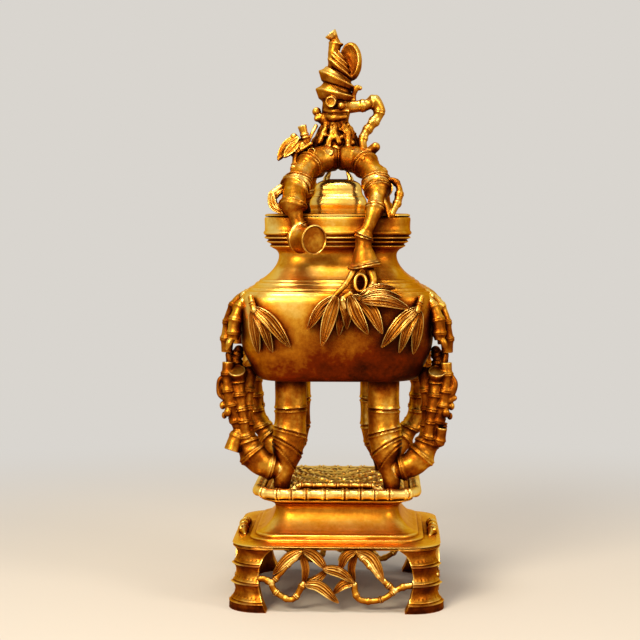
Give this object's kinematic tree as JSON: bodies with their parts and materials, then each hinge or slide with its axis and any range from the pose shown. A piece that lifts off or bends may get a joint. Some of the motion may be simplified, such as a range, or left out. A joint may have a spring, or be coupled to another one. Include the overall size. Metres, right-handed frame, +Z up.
{
  "type": "bamboo-form incense burner",
  "caption": "Gilt-bronze censer on bamboo legs: a rounded-square bowl on a pierced stand, with a lift-off lid under a bamboo arch handle with leaf sprays.",
  "frame": {"origin": "middle of the plane that the four feet rest on", "axes": "+Z up, the front with the long leaf fan faces -Y, +X to the right seen from the front"},
  "size_m": [0.1084, 0.1066, 0.2601],
  "materials": {
    "polished_gilt": "satin",
    "bamboo_gilt": "satin",
    "chased_gilt": "satin"
  },
  "bodies": {
    "stand": {"stand_plinth": "polished_gilt", "foot_front_left": "bamboo_gilt", "foot_front_right": "bamboo_gilt", "foot_back_right": "bamboo_gilt", "foot_back_left": "bamboo_gilt", "apron_front": "chased_gilt", "apron_right": "chased_gilt", "apron_back": "chased_gilt", "apron_left": "chased_gilt", "tray_deck": "polished_gilt", "tray_ring": "bamboo_gilt", "tray_rod": "bamboo_gilt", "tray_mat": "bamboo_gilt"},
    "burner": {"vessel": "polished_gilt", "leg_front_left": "bamboo_gilt", "leg_front_right": "bamboo_gilt", "leg_back_right": "bamboo_gilt", "leg_back_left": "bamboo_gilt", "culm_front_left": "bamboo_gilt", "culm_front_right": "bamboo_gilt", "culm_back_right": "bamboo_gilt", "culm_back_left": "bamboo_gilt", "twig_front_left": "bamboo_gilt", "twig_front_right": "bamboo_gilt", "twig_back_right": "bamboo_gilt", "twig_back_left": "bamboo_gilt", "leaves_front_left": "chased_gilt", "leaves_front_right": "chased_gilt", "leaves_back_right": "chased_gilt", "leaves_back_left": "chased_gilt"},
    "lid": {"lid_plate": "polished_gilt", "lid_dome": "polished_gilt", "arch_front": "bamboo_gilt", "long_leg_front": "bamboo_gilt", "short_leg_front": "bamboo_gilt", "cut_stump_front": "bamboo_gilt", "leaf_fans_front": "chased_gilt", "arch_back": "bamboo_gilt", "long_leg_back": "bamboo_gilt", "short_leg_back": "bamboo_gilt", "cut_stump_back": "bamboo_gilt", "leaf_fans_back": "chased_gilt", "finial_root": "bamboo_gilt", "finial_arm": "bamboo_gilt", "stub_cluster": "chased_gilt", "twig_right": "bamboo_gilt", "twig_left": "bamboo_gilt"}
  },
  "joints": [
    {"name": "burner_lift", "type": "slide", "parent": "stand", "child": "burner", "axis": [0, 0, 1], "range_m": [0, 0.05]},
    {"name": "lid_lift", "type": "slide", "parent": "burner", "child": "lid", "axis": [0, 0, 1], "range_m": [0, 0.07]}
  ]
}
